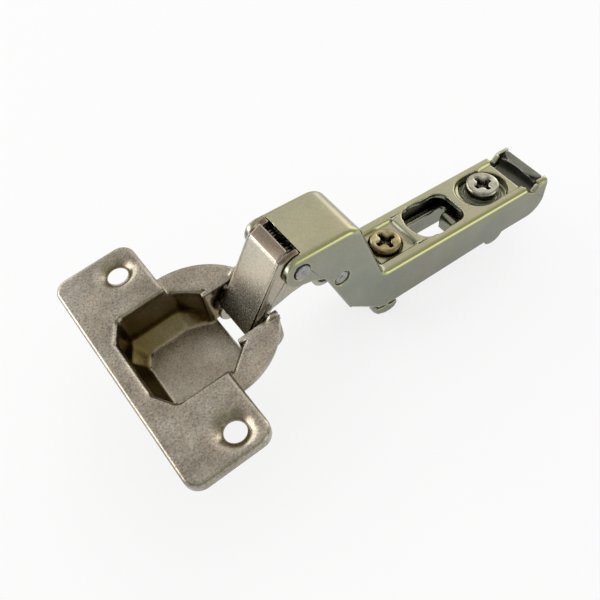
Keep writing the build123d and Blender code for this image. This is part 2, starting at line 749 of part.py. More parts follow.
with BuildPart() as toothed_washer:
    with BuildSketch(Plane.XY.offset(washer_bottom)) as disc:
        with Locations((depth_screw_x, 0)):
            Circle(washer_radius)
            Circle(depth_shank_radius + 0.15, mode=Mode.SUBTRACT)
    extrude(amount=washer_thickness)
    with BuildSketch(Plane.XY.offset(washer_top)) as grooves:
        with Locations((depth_screw_x, 0)):
            with PolarLocations(washer_radius + 0.1 - tooth_length / 2, tooth_count):
                Rectangle(tooth_length, 0.28)
    extrude(amount=-0.3, mode=Mode.SUBTRACT)

toothed_washer.part.label = "toothed_washer"
export_step(toothed_washer.part, "parts/toothed_washer.step")


# ================= depth screw: clamps the washer =================
depth_head_bottom = washer_top + 0.2
depth_head_top = rail_top + depth_screw_rise

with BuildPart() as depth_screw:
    with BuildSketch(Plane.XY.offset(depth_head_bottom)) as screw_head:
        with Locations((depth_screw_x, 0)):
            Circle(depth_screw_radius)
    extrude(amount=depth_head_top - depth_head_bottom)
    fillet(depth_screw.faces().sort_by(Axis.Z)[-1].edges(), 0.7)
    chamfer(depth_screw.faces().sort_by(Axis.Z)[0].edges(), 0.6)
    with BuildSketch(Plane.XY.offset(depth_head_bottom)) as screw_shank:
        with Locations((depth_screw_x, 0)):
            Circle(depth_shank_radius)
    extrude(amount=-(depth_head_bottom + 2.0))
    with BuildSketch(Plane.XY.offset(-1.6 - seat_gap)) as riveted_end:
        with Locations((depth_screw_x, 0)):
            Circle(2.7)
    extrude(amount=-0.8)
    with BuildSketch(Plane.XY.offset(depth_head_top)) as cross:
        with Locations((depth_screw_x, 0)):
            Rectangle(5.0, 1.4)
            Rectangle(1.4, 5.0)
            Circle(1.45)
    extrude(amount=-2.1, taper=14, mode=Mode.SUBTRACT)

depth_screw.part.label = "depth_screw"
export_step(depth_screw.part, "parts/depth_screw.step")


# ================= release lever, its pin and spring =================
cheek_outer = adapter_half - adapter_sheet - 0.15
lever_half = adapter_half - 0.1
lever_side = side(lever_pivot_x, lever_pivot_z)
scoop_foot = lever_rise - 4.75
crown_front, crown_rear = 2.0, 2.0 + lever_depth

with BuildPart() as release_lever:
    with BuildSketch(lever_side) as scoop:
        with BuildLine():
            nose = Line((-1.3, scoop_foot), (-1.3, scoop_foot + 0.95))
            hollow_face = ThreePointArc(nose @ 1, (crown_front + 0.1, scoop_foot + 1.9), (crown_front, lever_rise))
            crown = Line(hollow_face @ 1, (crown_rear - 0.1, lever_rise))
            Polyline(crown @ 1, (crown_rear, lever_rise - 3.5), (crown_rear - 1.5, scoop_foot), nose @ 0)
        make_face()
    extrude(amount=lever_half, both=True)
    with BuildSketch(Plane((lever_pivot_x, 0, lever_pivot_z + lever_rise - 1.1))) as beside_crown:
        Rectangle(4 * lever_depth, 4 * lever_half)
        with BuildLine():
            lip = ThreePointArc(
                (crown_rear - 1.1, lever_half + 0.5), (crown_front, -0.6), (crown_rear - 1.1, -lever_half - 0.5)
            )
            Polyline(
                lip @ 1, (3 * lever_depth, -lever_half - 0.5), (3 * lever_depth, lever_half + 0.5), lip @ 0
            )
        make_face(mode=Mode.SUBTRACT)
    extrude(amount=2, mode=Mode.SUBTRACT)
    with BuildSketch(lever_side) as cheek:
        with BuildLine():
            Polyline(
                (-1.3, scoop_foot + 0.3), (3.6, scoop_foot + 0.3), (2.7, -1.0), (0.6, -2.6),
                (-3.6, -2.6), (-4.4, -4.6), (-6.2, -4.0), (-5.8, -0.8), (-2.4, 0), close=True,
            )
        make_face()
        Circle(lever_pin_radius + running_fit, mode=Mode.SUBTRACT)
    extrude(amount=cheek_outer, both=True)
    with BuildSketch(lever_side) as between_cheeks:
        with Locations((-2, scoop_foot - 10)):
            Rectangle(20, 20)
    extrude(amount=cheek_outer - lever_sheet, both=True, mode=Mode.SUBTRACT)

release_lever.part.label = "release_lever"
export_step(release_lever.part, "parts/release_lever.step")

with BuildPart() as lever_pin:
    with BuildSketch(side(lever_pivot_x, lever_pivot_z)) as pin_section:
        Circle(lever_pin_radius)
    extrude(amount=adapter_half, both=True)

lever_pin.part.label = "lever_pin"
export_step(lever_pin.part, "parts/lever_pin.step")

return_wire = 0.7
return_radius = lever_pin_radius + 0.12 + return_wire / 2
return_pitch = 0.88 * return_wire
with BuildPart() as lever_spring:
    with BuildSketch(Plane.XY.offset(lever_pivot_z)) as wire:
        with Locations((lever_pivot_x + return_radius, 0)):
            with GridLocations(0, return_pitch, 1, 5):
                RegularPolygon(return_wire / 2, 8, rotation=22.5)
    revolve(axis=Axis((lever_pivot_x, 0, lever_pivot_z), (0, 1, 0)))
    with BuildSketch(Plane.YZ.offset(lever_pivot_x)) as seat_leg:
        with Locations((2 * return_pitch, lever_pivot_z + return_radius)):
            Circle(return_wire / 2 - leg_step)
    extrude(amount=-5.2)
    with BuildSketch(Plane.YZ.offset(lever_pivot_x)) as push_leg:
        with Locations((-2 * return_pitch, lever_pivot_z - return_radius)):
            Circle(return_wire / 2 - leg_step)
    extrude(amount=2.0)

lever_spring.part.label = "lever_spring"
export_step(lever_spring.part, "parts/lever_spring.step")
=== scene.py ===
import json
from math import cos, pi, radians, sin

import bmesh
import bpy
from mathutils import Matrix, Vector
from mathutils.bvhtree import BVHTree


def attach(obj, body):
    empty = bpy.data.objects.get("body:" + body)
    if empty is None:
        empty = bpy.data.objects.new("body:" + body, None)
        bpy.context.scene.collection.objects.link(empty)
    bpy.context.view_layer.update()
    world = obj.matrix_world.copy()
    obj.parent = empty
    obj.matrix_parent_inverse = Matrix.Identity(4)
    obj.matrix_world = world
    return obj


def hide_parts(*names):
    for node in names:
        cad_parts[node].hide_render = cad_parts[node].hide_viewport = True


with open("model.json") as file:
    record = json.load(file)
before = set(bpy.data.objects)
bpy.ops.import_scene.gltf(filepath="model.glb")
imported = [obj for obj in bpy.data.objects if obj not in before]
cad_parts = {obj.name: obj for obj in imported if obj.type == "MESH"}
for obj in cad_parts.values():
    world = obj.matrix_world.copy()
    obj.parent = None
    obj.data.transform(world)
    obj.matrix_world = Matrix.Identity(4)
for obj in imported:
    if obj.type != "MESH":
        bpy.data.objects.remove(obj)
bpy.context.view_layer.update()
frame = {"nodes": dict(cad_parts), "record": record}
mm = 0.001


def metres(size):  # from millimetres: a number, a point or a dictionary of them
    if isinstance(size, dict):
        return {key: metres(value) for key, value in size.items()}
    if isinstance(size, tuple):
        return tuple(value * mm for value in size)
    return size * mm


def newObject(name, data):
    made = bpy.data.objects.new(name, data)
    bpy.context.scene.collection.objects.link(made)
    return made


camera = {
    "place": (-96.01, -93.76, 143.88),  # mm, in the hinge's own frame
    "turnDegrees": (38.599, 1.067, -35.523),
    "lens": 48.16,
    "sensor": 36.0,
    "nearest": 5.0,  # mm
}


def placeCamera():
    data = bpy.data.cameras.new("camera")
    data.lens = camera["lens"]
    data.sensor_width = camera["sensor"]
    data.clip_start = metres(camera["nearest"])
    eye = newObject("camera", data)
    eye.location = metres(camera["place"])
    eye.rotation_euler = [radians(turn) for turn in camera["turnDegrees"]]
    bpy.context.scene.camera = eye


placeCamera()
print("camera placed")


def feed(tree, value, socket):  # a socket is linked, anything else is set as it is
    if isinstance(value, bpy.types.NodeSocket):
        tree.links.new(value, socket)
    elif value is not None:
        socket.default_value = value


def addNode(tree, kind, inputs=None, **values):
    node = tree.nodes.new(kind)
    for key, value in values.items():
        setattr(node, key, value)
    for label, value in (inputs or {}).items():
        feed(tree, value, node.inputs[label])
    return node


socketKinds = {float: "NodeSocketFloat", int: "NodeSocketInt"}


def newTree(name, kind, inputs, outputs):  # an input is given by its value, or by its kind
    tree = bpy.data.node_groups.new(name, kind)
    for label, value in inputs.items():
        hasValue = not isinstance(value, str)
        socketKind = socketKinds[type(value)] if hasValue else value
        socket = tree.interface.new_socket(label, in_out="INPUT", socket_type=socketKind)
        if hasValue:
            socket.default_value = value
    for label, socketKind in outputs.items():
        tree.interface.new_socket(label, in_out="OUTPUT", socket_type=socketKind)
    start, end = tree.nodes.new("NodeGroupInput"), tree.nodes.new("NodeGroupOutput")
    return tree, start.outputs, end.inputs


def maths(tree, operation, a, b=None, clamp=False):
    node = addNode(tree, "ShaderNodeMath", {0: a, 1: b}, operation=operation, use_clamp=clamp)
    return node.outputs["Value"]


def vector(tree, x, y, z):
    return addNode(tree, "ShaderNodeCombineXYZ", {"X": x, "Y": y, "Z": z}).outputs["Vector"]


def mapRange(tree, value, low, high, toLow=0.0, toHigh=1.0, smooth=False):
    node = addNode(
        tree, "ShaderNodeMapRange",
        {"Value": value, "From Min": low, "From Max": high, "To Min": toLow, "To Max": toHigh},
        interpolation_type="SMOOTHSTEP" if smooth else "LINEAR",
    )
    return node.outputs["Result"]


def blendColour(tree, factor, a, b, how="MIX"):
    a, b = [(*colour, 1) if isinstance(colour, tuple) else colour for colour in (a, b)]
    node = addNode(tree, "ShaderNodeMix", {"Factor": factor, "A": a, "B": b},
                   data_type="RGBA", blend_type=how)
    return node.outputs["Result"]


grainLayers = {  # low and high are the noise values that become 0 and 1
    "Grain": dict(detail=3.0, roughness=0.7, low=0.3, high=0.7, smooth=False),
    "Clouds": dict(detail=4.0, roughness=0.55, low=0.3, high=0.7, smooth=False),
    "Blush": dict(detail=2.0, roughness=0.5, low=0.35, high=0.65, smooth=True),
}
blushScale = 0.45  # share of the scale of the clouds


def makeSatinGrain():  # fine sparkle of a barrel-plated pressing, with soft clouds under it
    group, given, result = newTree(
        "satinGrain", "ShaderNodeTree",
        {"Place": "NodeSocketVector", "Grain Scale": 3500.0, "Cloud Scale": 260.0},
        {label: "NodeSocketFloat" for label in grainLayers},
    )
    scales = {
        "Grain": given["Grain Scale"],
        "Clouds": given["Cloud Scale"],
        "Blush": maths(group, "MULTIPLY", given["Cloud Scale"], blushScale),
    }
    for label, layer in grainLayers.items():
        noise = addNode(group, "ShaderNodeTexNoise", {
            "Vector": given["Place"], "Scale": scales[label],
            "Detail": layer["detail"], "Roughness": layer["roughness"],
        })
        shown = mapRange(group, noise.outputs["Fac"], layer["low"], layer["high"],
                         smooth=layer["smooth"])
        feed(group, shown, result[label])
    return group


raysPerPoint = {"edge": 6, "recess": 8, "softness": 8}


def makeEdgeBuildUp():  # mask of the rolled and cut edges, which get a painted highlight colour and are burnished
    group, given, result = newTree(
        "edgeHighlightAndBurnish", "ShaderNodeTree",
        {"Reach": metres(0.6), "Strength": 3.0}, {"Edge": "NodeSocketFloat"},
    )
    rounded = addNode(group, "ShaderNodeBevel", {"Radius": given["Reach"]},
                      samples=raysPerPoint["edge"])
    flat = addNode(group, "ShaderNodeNewGeometry")
    likeness = addNode(group, "ShaderNodeVectorMath",
                       {0: rounded.outputs["Normal"], 1: flat.outputs["Normal"]},
                       operation="DOT_PRODUCT")
    away = maths(group, "SUBTRACT", 1.0, likeness.outputs["Value"])
    feed(group, maths(group, "MULTIPLY", away, given["Strength"], clamp=True), result["Edge"])
    return group


def makeRecessTone():  # how deep in a fold or pocket a point lies, where shade and tinted inner reflections are painted
    group, given, result = newTree(
        "recessShade", "ShaderNodeTree",
        {"Reach": metres(12.0), "Open": 0.75, "Shut": 0.15}, {"Recess": "NodeSocketFloat"},
    )
    hollow = addNode(group, "ShaderNodeAmbientOcclusion", {"Distance": given["Reach"]},
                     samples=raysPerPoint["recess"], only_local=True)
    deep = mapRange(group, hollow.outputs["AO"], given["Open"], given["Shut"], smooth=True)
    feed(group, deep, result["Recess"])
    return group


facing = {  # where each mask starts and where it is full
    "high": (-8.0, 22.0),  # mm above the seat on the mounting plate
    "up": (0.5, 0.95),  # the upward part of the normal: 1 on a face that lies flat
    "standing": (0.985, 0.9),
    "foldFull": 0.95,
}


def makeFoldTone():  # Fold: the long rolls between a top and its sides, Up: faces that lie flat
    group, given, result = newTree(
        "foldTone", "ShaderNodeTree", {"Fold Start": 0.3},
        {label: "NodeSocketFloat" for label in ("Up", "Fold", "High", "Standing")},
    )
    point = addNode(group, "ShaderNodeTexCoord").outputs
    height = addNode(group, "ShaderNodeSeparateXYZ", {"Vector": point["Object"]}).outputs["Z"]
    normal = addNode(group, "ShaderNodeSeparateXYZ", {"Vector": point["Normal"]}).outputs
    across = maths(group, "MULTIPLY", maths(group, "ABSOLUTE", normal["Y"]), 2.0)
    roll = maths(group, "MULTIPLY", across, normal["Z"])  # 1 halfway between top and side
    masks = {
        "High": mapRange(group, height, *metres(facing["high"])),
        "Up": mapRange(group, normal["Z"], *facing["up"], smooth=True),
        "Standing": mapRange(group, normal["Z"], *facing["standing"]),
        "Fold": mapRange(group, roll, given["Fold Start"], facing["foldFull"], smooth=True),
    }
    for label, mask in masks.items():
        feed(group, mask, result[label])
    return group


satinGrain = makeSatinGrain()
edgeHighlightAndBurnish = makeEdgeBuildUp()
recessShade = makeRecessTone()
foldTone = makeFoldTone()

plating = {
    "brightSpeckle": 0.8,  # share of the dark speckle
    "flatRecess": 0.2,  # share of the painted recess shade on faces that lie flat
    "rubbedBump": 0.25,  # share of the grain's bump on rubbed metal
    "grainDepth": 0.02,  # mm
}


def platedMetal(name, look):
    material = bpy.data.materials.new(name)
    material.use_nodes = True
    tree = material.node_tree
    tree.nodes.clear()
    shader = addNode(tree, "ShaderNodeBsdfPrincipled")
    addNode(tree, "ShaderNodeOutputMaterial", {"Surface": shader.outputs["BSDF"]})
    place = addNode(tree, "ShaderNodeTexCoord").outputs["Object"]
    grain = addNode(tree, "ShaderNodeGroup", {
        "Place": place, "Grain Scale": look["grainScale"], "Cloud Scale": look["cloudScale"],
    }, node_tree=satinGrain).outputs
    edge = addNode(tree, "ShaderNodeGroup", {
        "Reach": metres(look["edgeReach"]), "Strength": look["edgeStrength"],
    }, node_tree=edgeHighlightAndBurnish).outputs["Edge"]
    recess = addNode(tree, "ShaderNodeGroup", {
        "Reach": metres(look["recessReach"]),
        "Open": look["recessOpen"], "Shut": look["recessShut"],
    }, node_tree=recessShade).outputs["Recess"]
    lie = addNode(tree, "ShaderNodeGroup", node_tree=foldTone).outputs

    def share(mask, amount):
        return maths(tree, "MULTIPLY", mask, look[amount])

    base = blendColour(tree, grain["Clouds"], look["dark"], look["pale"])
    base = blendColour(tree, share(grain["Blush"], "blushing"), base, look["blush"], "MULTIPLY")
    speckle = mapRange(tree, grain["Grain"], 0.0, 1.0, 1.0 - look["speckle"],
                       1.0 + look["speckle"] * plating["brightSpeckle"])
    base = blendColour(tree, 1.0, base, speckle, "MULTIPLY")
    # painted shade: faces that don't lie flat are darker towards the bottom and lighter towards
    # the top
    heightShade = mapRange(tree, lie["High"], 0.0, 1.0, 1.0 - look["sideShadeByHeight"], 1.0 + look["sideShadeByHeight"])
    notUp = maths(tree, "SUBTRACT", 1.0, lie["Up"])
    base = blendColour(tree, notUp, base, heightShade, "MULTIPLY")
    # painted light and shade on faces that lie flat: lighter and warmer on the arm, darker and
    # pinker on the links
    base = blendColour(tree, share(lie["Up"], "paintedTopShading"), base, look["top"], "MULTIPLY")
    # the plating's yellow-green tint on the long rolls, painted lighter as a highlight as well
    base = blendColour(tree, share(lie["Fold"], "folding"), base, look["fold"])
    # painted highlight: the edges are blended towards a bright edge colour
    base = blendColour(tree, edge, base, look["edge"])
    # painted shade and tinted inner reflection deep in pockets and folds
    shows = mapRange(tree, lie["Standing"], 0.0, 1.0, plating["flatRecess"], 1.0)
    deep = maths(tree, "MULTIPLY", share(recess, "recessing"), shows)
    base = blendColour(tree, deep, base, look["recess"])
    feed(tree, base, shader.inputs["Base Color"])

    # edges, bends and drawn sides come out of the press burnished
    rubbed = maths(tree, "MAXIMUM", edge, lie["Fold"])
    rubbed = maths(tree, "MAXIMUM", rubbed, share(lie["Standing"], "drawn"), clamp=True)
    rough = mapRange(tree, grain["Grain"], 0.0, 1.0, look["rough"] - look["roughSpread"],
                     look["rough"] + look["roughSpread"])
    rough = mapRange(tree, rubbed, 0.0, 1.0, rough, look["rubbedRough"])
    feed(tree, rough, shader.inputs["Roughness"])

    soft = None
    if look["softness"]:  # shades the crisp folds of the mesh as rolled ones
        soft = addNode(tree, "ShaderNodeBevel", {"Radius": metres(look["softness"])},
                       samples=raysPerPoint["softness"]).outputs["Normal"]
    bumpLeft = plating["rubbedBump"] * look["bump"]
    bump = addNode(tree, "ShaderNodeBump", {
        "Strength": mapRange(tree, rubbed, 0.0, 1.0, look["bump"], bumpLeft),
        "Distance": metres(plating["grainDepth"]), "Height": grain["Grain"], "Normal": soft,
    })
    feed(tree, bump.outputs["Normal"], shader.inputs["Normal"])
    shader.inputs["Metallic"].default_value = look["metallic"]
    return material


# colours are linear, reaches and softness in mm, grainScale and cloudScale per metre
plain = dict(
    top=(1.0, 1.0, 1.0), paintedTopShading=0.0, sideShadeByHeight=0.0, fold=(0.4, 0.4, 0.2), folding=0.0,
    recessReach=8.0, recessOpen=0.6, recessShut=0.15, recessing=0.9,
    softness=0.0, drawn=0.0, rubbedRough=0.16,
)
# in each look, edge is a painted highlight colour, fold the plating's tint painted lighter as a
# highlight, top painted light and shade on faces that lie flat, recess painted shade in hollows
looks = {
    "satinNickel": dict(
        plain, dark=(0.272, 0.243, 0.197), pale=(0.435, 0.393, 0.325), edge=(0.86, 0.84, 0.74),
        recess=(0.15, 0.105, 0.016), recessReach=16.0, recessOpen=0.95, recessShut=0.62,
        blush=(1.0, 0.92, 0.86), blushing=0.6, fold=(0.50, 0.50, 0.27), folding=0.18,
        softness=1.2, drawn=0.9, rubbedRough=0.17,
        speckle=0.45, rough=0.33, roughSpread=0.10, bump=0.9, metallic=1.0,
        grainScale=2300.0, cloudScale=170.0, edgeReach=0.6, edgeStrength=3.0,
    ),
    "oliveNickel": dict(
        plain, dark=(0.21, 0.222, 0.176), pale=(0.262, 0.272, 0.22), edge=(0.64, 0.64, 0.44),
        recess=(0.10, 0.085, 0.03), blush=(1.0, 0.9, 0.8), blushing=0.4,
        top=(1.23, 1.11, 0.93), paintedTopShading=1.0, sideShadeByHeight=0.16,
        fold=(0.50, 0.50, 0.22), folding=0.75, softness=0.6,
        speckle=0.13, rough=0.22, roughSpread=0.05, bump=0.2, metallic=1.0,
        grainScale=2600.0, cloudScale=90.0, edgeReach=0.7, edgeStrength=2.6,
    ),
    "linkNickel": dict(
        plain, dark=(0.37, 0.35, 0.29), pale=(0.45, 0.425, 0.36), edge=(0.68, 0.66, 0.54),
        recess=(0.10, 0.085, 0.04), blush=(1.0, 0.9, 0.8), blushing=0.5,
        top=(0.36, 0.245, 0.19), paintedTopShading=1.0, softness=0.5,
        speckle=0.14, rough=0.24, roughSpread=0.05, bump=0.3, metallic=1.0,
        grainScale=2600.0, cloudScale=90.0, edgeReach=0.7, edgeStrength=2.8,
    ),
    "darkOxide": dict(
        plain, dark=(0.10, 0.10, 0.083), pale=(0.15, 0.15, 0.122), edge=(0.34, 0.34, 0.29),
        recess=(0.03, 0.027, 0.02), blush=(1.0, 0.9, 0.82), blushing=0.5,
        speckle=0.2, rough=0.36, roughSpread=0.08, bump=0.4, metallic=0.9,
        grainScale=2500.0, cloudScale=300.0, edgeReach=0.6, edgeStrength=2.5,
    ),
    "brightPin": dict(
        plain, dark=(0.26, 0.26, 0.25), pale=(0.36, 0.36, 0.34), edge=(0.62, 0.61, 0.58),
        recess=(0.06, 0.055, 0.045), blush=(1.0, 0.97, 0.93), blushing=0.3,
        speckle=0.2, rough=0.24, roughSpread=0.08, bump=0.5, metallic=1.0,
        grainScale=2500.0, cloudScale=900.0, edgeReach=0.3, edgeStrength=2.5,
    ),
    "screwSteel": dict(
        plain, dark=(0.19, 0.18, 0.135), pale=(0.47, 0.455, 0.37), edge=(0.85, 0.86, 0.72),
        recess=(0.05, 0.042, 0.015), blush=(1.0, 0.93, 0.87), blushing=0.6, softness=0.8,
        speckle=0.1, rough=0.16, roughSpread=0.04, bump=0.3, metallic=1.0,
        grainScale=2500.0, cloudScale=420.0, edgeReach=0.5, edgeStrength=3.0,
    ),
    "screwBrass": dict(
        plain, dark=(0.17, 0.14, 0.075), pale=(0.42, 0.38, 0.21), edge=(0.66, 0.64, 0.42),
        recess=(0.04, 0.03, 0.012), blush=(1.0, 0.82, 0.7), blushing=0.8, softness=0.8,
        speckle=0.1, rough=0.18, roughSpread=0.04, bump=0.3, metallic=1.0,
        grainScale=2500.0, cloudScale=420.0, edgeReach=0.5, edgeStrength=3.0,
    ),
    "washerSteel": dict(
        plain, dark=(0.47, 0.47, 0.35), pale=(0.68, 0.68, 0.52), edge=(0.97, 0.96, 0.86),
        recess=(0.06, 0.055, 0.025), recessing=0.15, blush=(1.0, 0.97, 0.9), blushing=0.3,
        speckle=0.12, rough=0.28, roughSpread=0.05, bump=0.3, metallic=0.25,
        grainScale=2500.0, cloudScale=700.0, edgeReach=0.2, edgeStrength=3.0,
    ),
    "springSteel": dict(
        plain, dark=(0.10, 0.095, 0.08), pale=(0.22, 0.21, 0.18), edge=(0.3, 0.29, 0.27),
        recess=(0.05, 0.045, 0.035), blush=(1.0, 0.97, 0.93), blushing=0.4,
        speckle=0.2, rough=0.26, roughSpread=0.06, bump=0.4, metallic=1.0,
        grainScale=2500.0, cloudScale=700.0, edgeReach=0.2, edgeStrength=1.0,
    ),
    "bushPlastic": dict(
        plain, dark=(0.50, 0.48, 0.44), pale=(0.58, 0.56, 0.52), edge=(0.62, 0.61, 0.57),
        recess=(0.3, 0.28, 0.24), blush=(1.0, 0.98, 0.95), blushing=0.3,
        speckle=0.06, rough=0.5, roughSpread=0.05, bump=0.3, metallic=0.0,
        grainScale=1800.0, cloudScale=300.0, edgeReach=0.2, edgeStrength=1.0,
    ),
}
finishes = {name: platedMetal(name, look) for name, look in looks.items()}
print("finishes made")

faceWeight = 100  # large faces set the shading, so a bend reads as rolled


def freeze(piece):  # turns a piece's modifiers into its plain mesh
    piece.modifiers.new("faces", "WEIGHTED_NORMAL").weight = faceWeight
    shaped = piece.evaluated_get(bpy.context.evaluated_depsgraph_get())
    unshaped = piece.data
    piece.data = bpy.data.meshes.new_from_object(shaped)
    piece.modifiers.clear()
    bpy.data.meshes.remove(unshaped)
    piece.data.name = piece.name


def joinHinge(piece, finish, node):  # its finish, its body and the solid it stands for
    piece.data.materials.clear()
    piece.data.materials.append(finishes[finish])
    bodies = frame["record"]["behaviour"]["bodies"]
    body = next(name for name, members in bodies.items() if node in members)
    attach(piece, body)
    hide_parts(node)


edgeBreak = {
    "steps": 2,
    "creaseDegrees": 33,  # a fold sharper than this is an edge
    "weld": 0.002,  # mm
    "thrown": 0.6,  # of the edge width: a point this far off the solid is put back
}


def mergedCopy(node):
    mesh = frame["nodes"][node].data.copy()
    work = bmesh.new()
    work.from_mesh(mesh)
    bmesh.ops.remove_doubles(work, verts=work.verts, dist=metres(edgeBreak["weld"]))
    for face in work.faces:
        face.smooth = True
    work.to_mesh(mesh)
    work.free()
    return mesh


def settle(mesh, solid, reach):  # puts back any point that the bevel threw off the solid
    corners = [vertex.co for vertex in solid.vertices]
    skin = BVHTree.FromPolygons(corners, [face.vertices for face in solid.polygons])
    thrown = 0
    for vertex in mesh.vertices:
        near, _, _, away = skin.find_nearest(vertex.co)
        if away > reach:
            vertex.co = near
            thrown += 1
    print("  settled", thrown, "of", len(mesh.vertices))


def breakEdges(pieceName, node, width, finish, slot):
    piece = newObject(pieceName, mergedCopy(node))
    bevel = piece.modifiers.new("edges", "BEVEL")
    bevel.width = metres(width)
    bevel.segments = edgeBreak["steps"]
    bevel.limit_method = "ANGLE"
    bevel.angle_limit = radians(edgeBreak["creaseDegrees"])
    bevel.use_clamp_overlap = False
    bevel.miter_outer = "MITER_ARC"
    freeze(piece)
    settle(piece.data, frame["nodes"][node].data, edgeBreak["thrown"] * metres(width))
    joinHinge(piece, finish, node)


edgedPieces = {  # the solids with their edges broken, widths in mm
    "cupPressing": dict(node="cup", width=0.22, finish="satinNickel", slot="cup"),
    "outerLinkPressing": dict(
        node="outer_link", width=0.18, finish="linkNickel", slot="outer_link"),
    "innerLinkPressing": dict(
        node="inner_link", width=0.18, finish="linkNickel", slot="inner_link"),
    "armPressing": dict(node="arm", width=0.18, finish="oliveNickel", slot="arm"),
    "adapterPressing": dict(node="adapter", width=0.15, finish="oliveNickel", slot="adapter"),
    "releaseLeverCast": dict(
        node="release_lever", width=0.25, finish="darkOxide", slot="release_lever"),
    "sideScrewTurned": dict(
        node="side_screw", width=0.22, finish="screwBrass", slot="side_screw"),
    "depthScrewTurned": dict(
        node="depth_screw", width=0.25, finish="screwSteel", slot="depth_screw"),
    "nearBush": dict(node="near_bush", width=0.1, finish="bushPlastic", slot="bush"),
    "farBush": dict(node="far_bush", width=0.1, finish="bushPlastic", slot="bush"),
}
for pieceName, choices in edgedPieces.items():
    breakEdges(pieceName, **choices)
print("pressings dressed")


def newShape(name, inputs):
    inputs = {**inputs, "Place": "NodeSocketVector", "Finish": "NodeSocketMaterial"}
    return newTree(name, "GeometryNodeTree", inputs, {"Geometry": "NodeSocketGeometry"})


def endShape(tree, geometry, given, result, turn=(0, 0, 0)):  # put in its place and finished
    laid = addNode(tree, "GeometryNodeTransform",
                   {"Geometry": geometry, "Rotation": turn, "Translation": given["Place"]})
    smooth = addNode(tree, "GeometryNodeSetShadeSmooth", {"Geometry": laid.outputs["Geometry"]})
    real = addNode(tree, "GeometryNodeRealizeInstances",
                   {"Geometry": smooth.outputs["Geometry"]})
    dressed = addNode(tree, "GeometryNodeSetMaterial",
                      {"Geometry": real.outputs["Geometry"], "Material": given["Finish"]})
    feed(tree, dressed.outputs["Geometry"], result["Geometry"])


def circle(tree, radius, sides):
    made = addNode(tree, "GeometryNodeCurvePrimitiveCircle",
                   {"Radius": radius, "Resolution": sides})
    return made.outputs["Curve"]


def curveThrough(tree, count, position):  # position is worked out from each point's index
    line = addNode(tree, "GeometryNodeMeshLine", {"Count": count}, mode="OFFSET")
    moved = addNode(tree, "GeometryNodeSetPosition",
                    {"Geometry": line.outputs["Mesh"], "Position": position})
    curve = addNode(tree, "GeometryNodeMeshToCurve", {"Mesh": moved.outputs["Geometry"]})
    return curve.outputs["Curve"]


def sweep(tree, path, section, capped=False):
    swept = addNode(tree, "GeometryNodeCurveToMesh",
                    {"Curve": path, "Profile Curve": section, "Fill Caps": capped})
    return swept.outputs["Mesh"]


def grow(pieceName, tree, values, finish, node):
    piece = newObject(pieceName, bpy.data.meshes.new(pieceName))
    build = piece.modifiers.new("build", "NODES")
    build.node_group = tree
    values = {**values, "Finish": finishes[finish]}
    for item in tree.interface.items_tree:
        if item.in_out == "INPUT" and item.name in values:
            build[item.identifier] = values[item.name]
    freeze(piece)
    joinHinge(piece, finish, node)


pinTurning = {
    "punchFloor": 0.6,  # share of the radius at the mouth of the punch mark
    "bulge": 0.3,  # share of the broken edge, which makes it round and not a flat chamfer
    "spine": 0.02,  # mm, radius of the circle that carries the outline round
    "weld": 0.004,  # mm
}


def makeTurnedPin():  # a pin or rivet along the Y direction, with broken edges and punch marks
    tree, given, result = newShape("turnedPin", {
        **metres({
            "Shank Radius": 1.5, "Head Radius": 1.8, "Half Length": 8.0, "Head Height": 1.0,
            "Broken Edge": 0.2, "Punch Radius": 0.45, "Punch Depth": 0.3,
        }),
        "Sides": 48,
    })
    half, headRadius, brim = given["Half Length"], given["Head Radius"], given["Broken Edge"]
    underHead = maths(tree, "SUBTRACT", half, given["Head Height"])
    punchFloor = maths(tree, "SUBTRACT", half, given["Punch Depth"])
    floorRadius = maths(tree, "MULTIPLY", given["Punch Radius"], pinTurning["punchFloor"])
    bulge = maths(tree, "MULTIPLY", brim, pinTurning["bulge"])
    outline = [  # radius and distance from the middle, for one half of the pin
        (0.0, punchFloor),
        (floorRadius, punchFloor),
        (given["Punch Radius"], half),
        (maths(tree, "SUBTRACT", headRadius, brim), half),
        (maths(tree, "SUBTRACT", headRadius, bulge), maths(tree, "SUBTRACT", half, bulge)),
        (headRadius, maths(tree, "SUBTRACT", half, brim)),
        (headRadius, underHead),
        (given["Shank Radius"], underHead),
    ]
    # the other half is the same outline backwards
    last = 2 * len(outline) - 1
    corner = addNode(tree, "GeometryNodeInputIndex").outputs["Index"]
    fromEnd = maths(tree, "MINIMUM", corner, maths(tree, "SUBTRACT", last, corner))
    firstHalf = maths(tree, "LESS_THAN", corner, last / 2)
    way = maths(tree, "SUBTRACT", maths(tree, "MULTIPLY", firstHalf, 2.0), 1.0)
    picked = []
    for choices in zip(*outline):
        pick = addNode(tree, "GeometryNodeIndexSwitch", data_type="FLOAT")
        while len(pick.index_switch_items) < len(outline):
            pick.index_switch_items.new()
        feed(tree, fromEnd, pick.inputs["Index"])
        for i, choice in enumerate(choices):
            feed(tree, choice, pick.inputs[str(i)])
        picked.append(pick.outputs["Output"])
    radius, distance = picked
    spineRadius = metres(pinTurning["spine"])
    position = vector(tree, maths(tree, "SUBTRACT", radius, spineRadius),
                      maths(tree, "MULTIPLY", distance, way), 0.0)
    turned = sweep(tree, circle(tree, spineRadius, given["Sides"]),
                   curveThrough(tree, last + 1, position))
    welded = addNode(tree, "GeometryNodeMergeByDistance",
                     {"Geometry": turned, "Distance": metres(pinTurning["weld"])})
    endShape(tree, welded.outputs["Geometry"], given, result, turn=(pi / 2, 0, 0))
    return tree


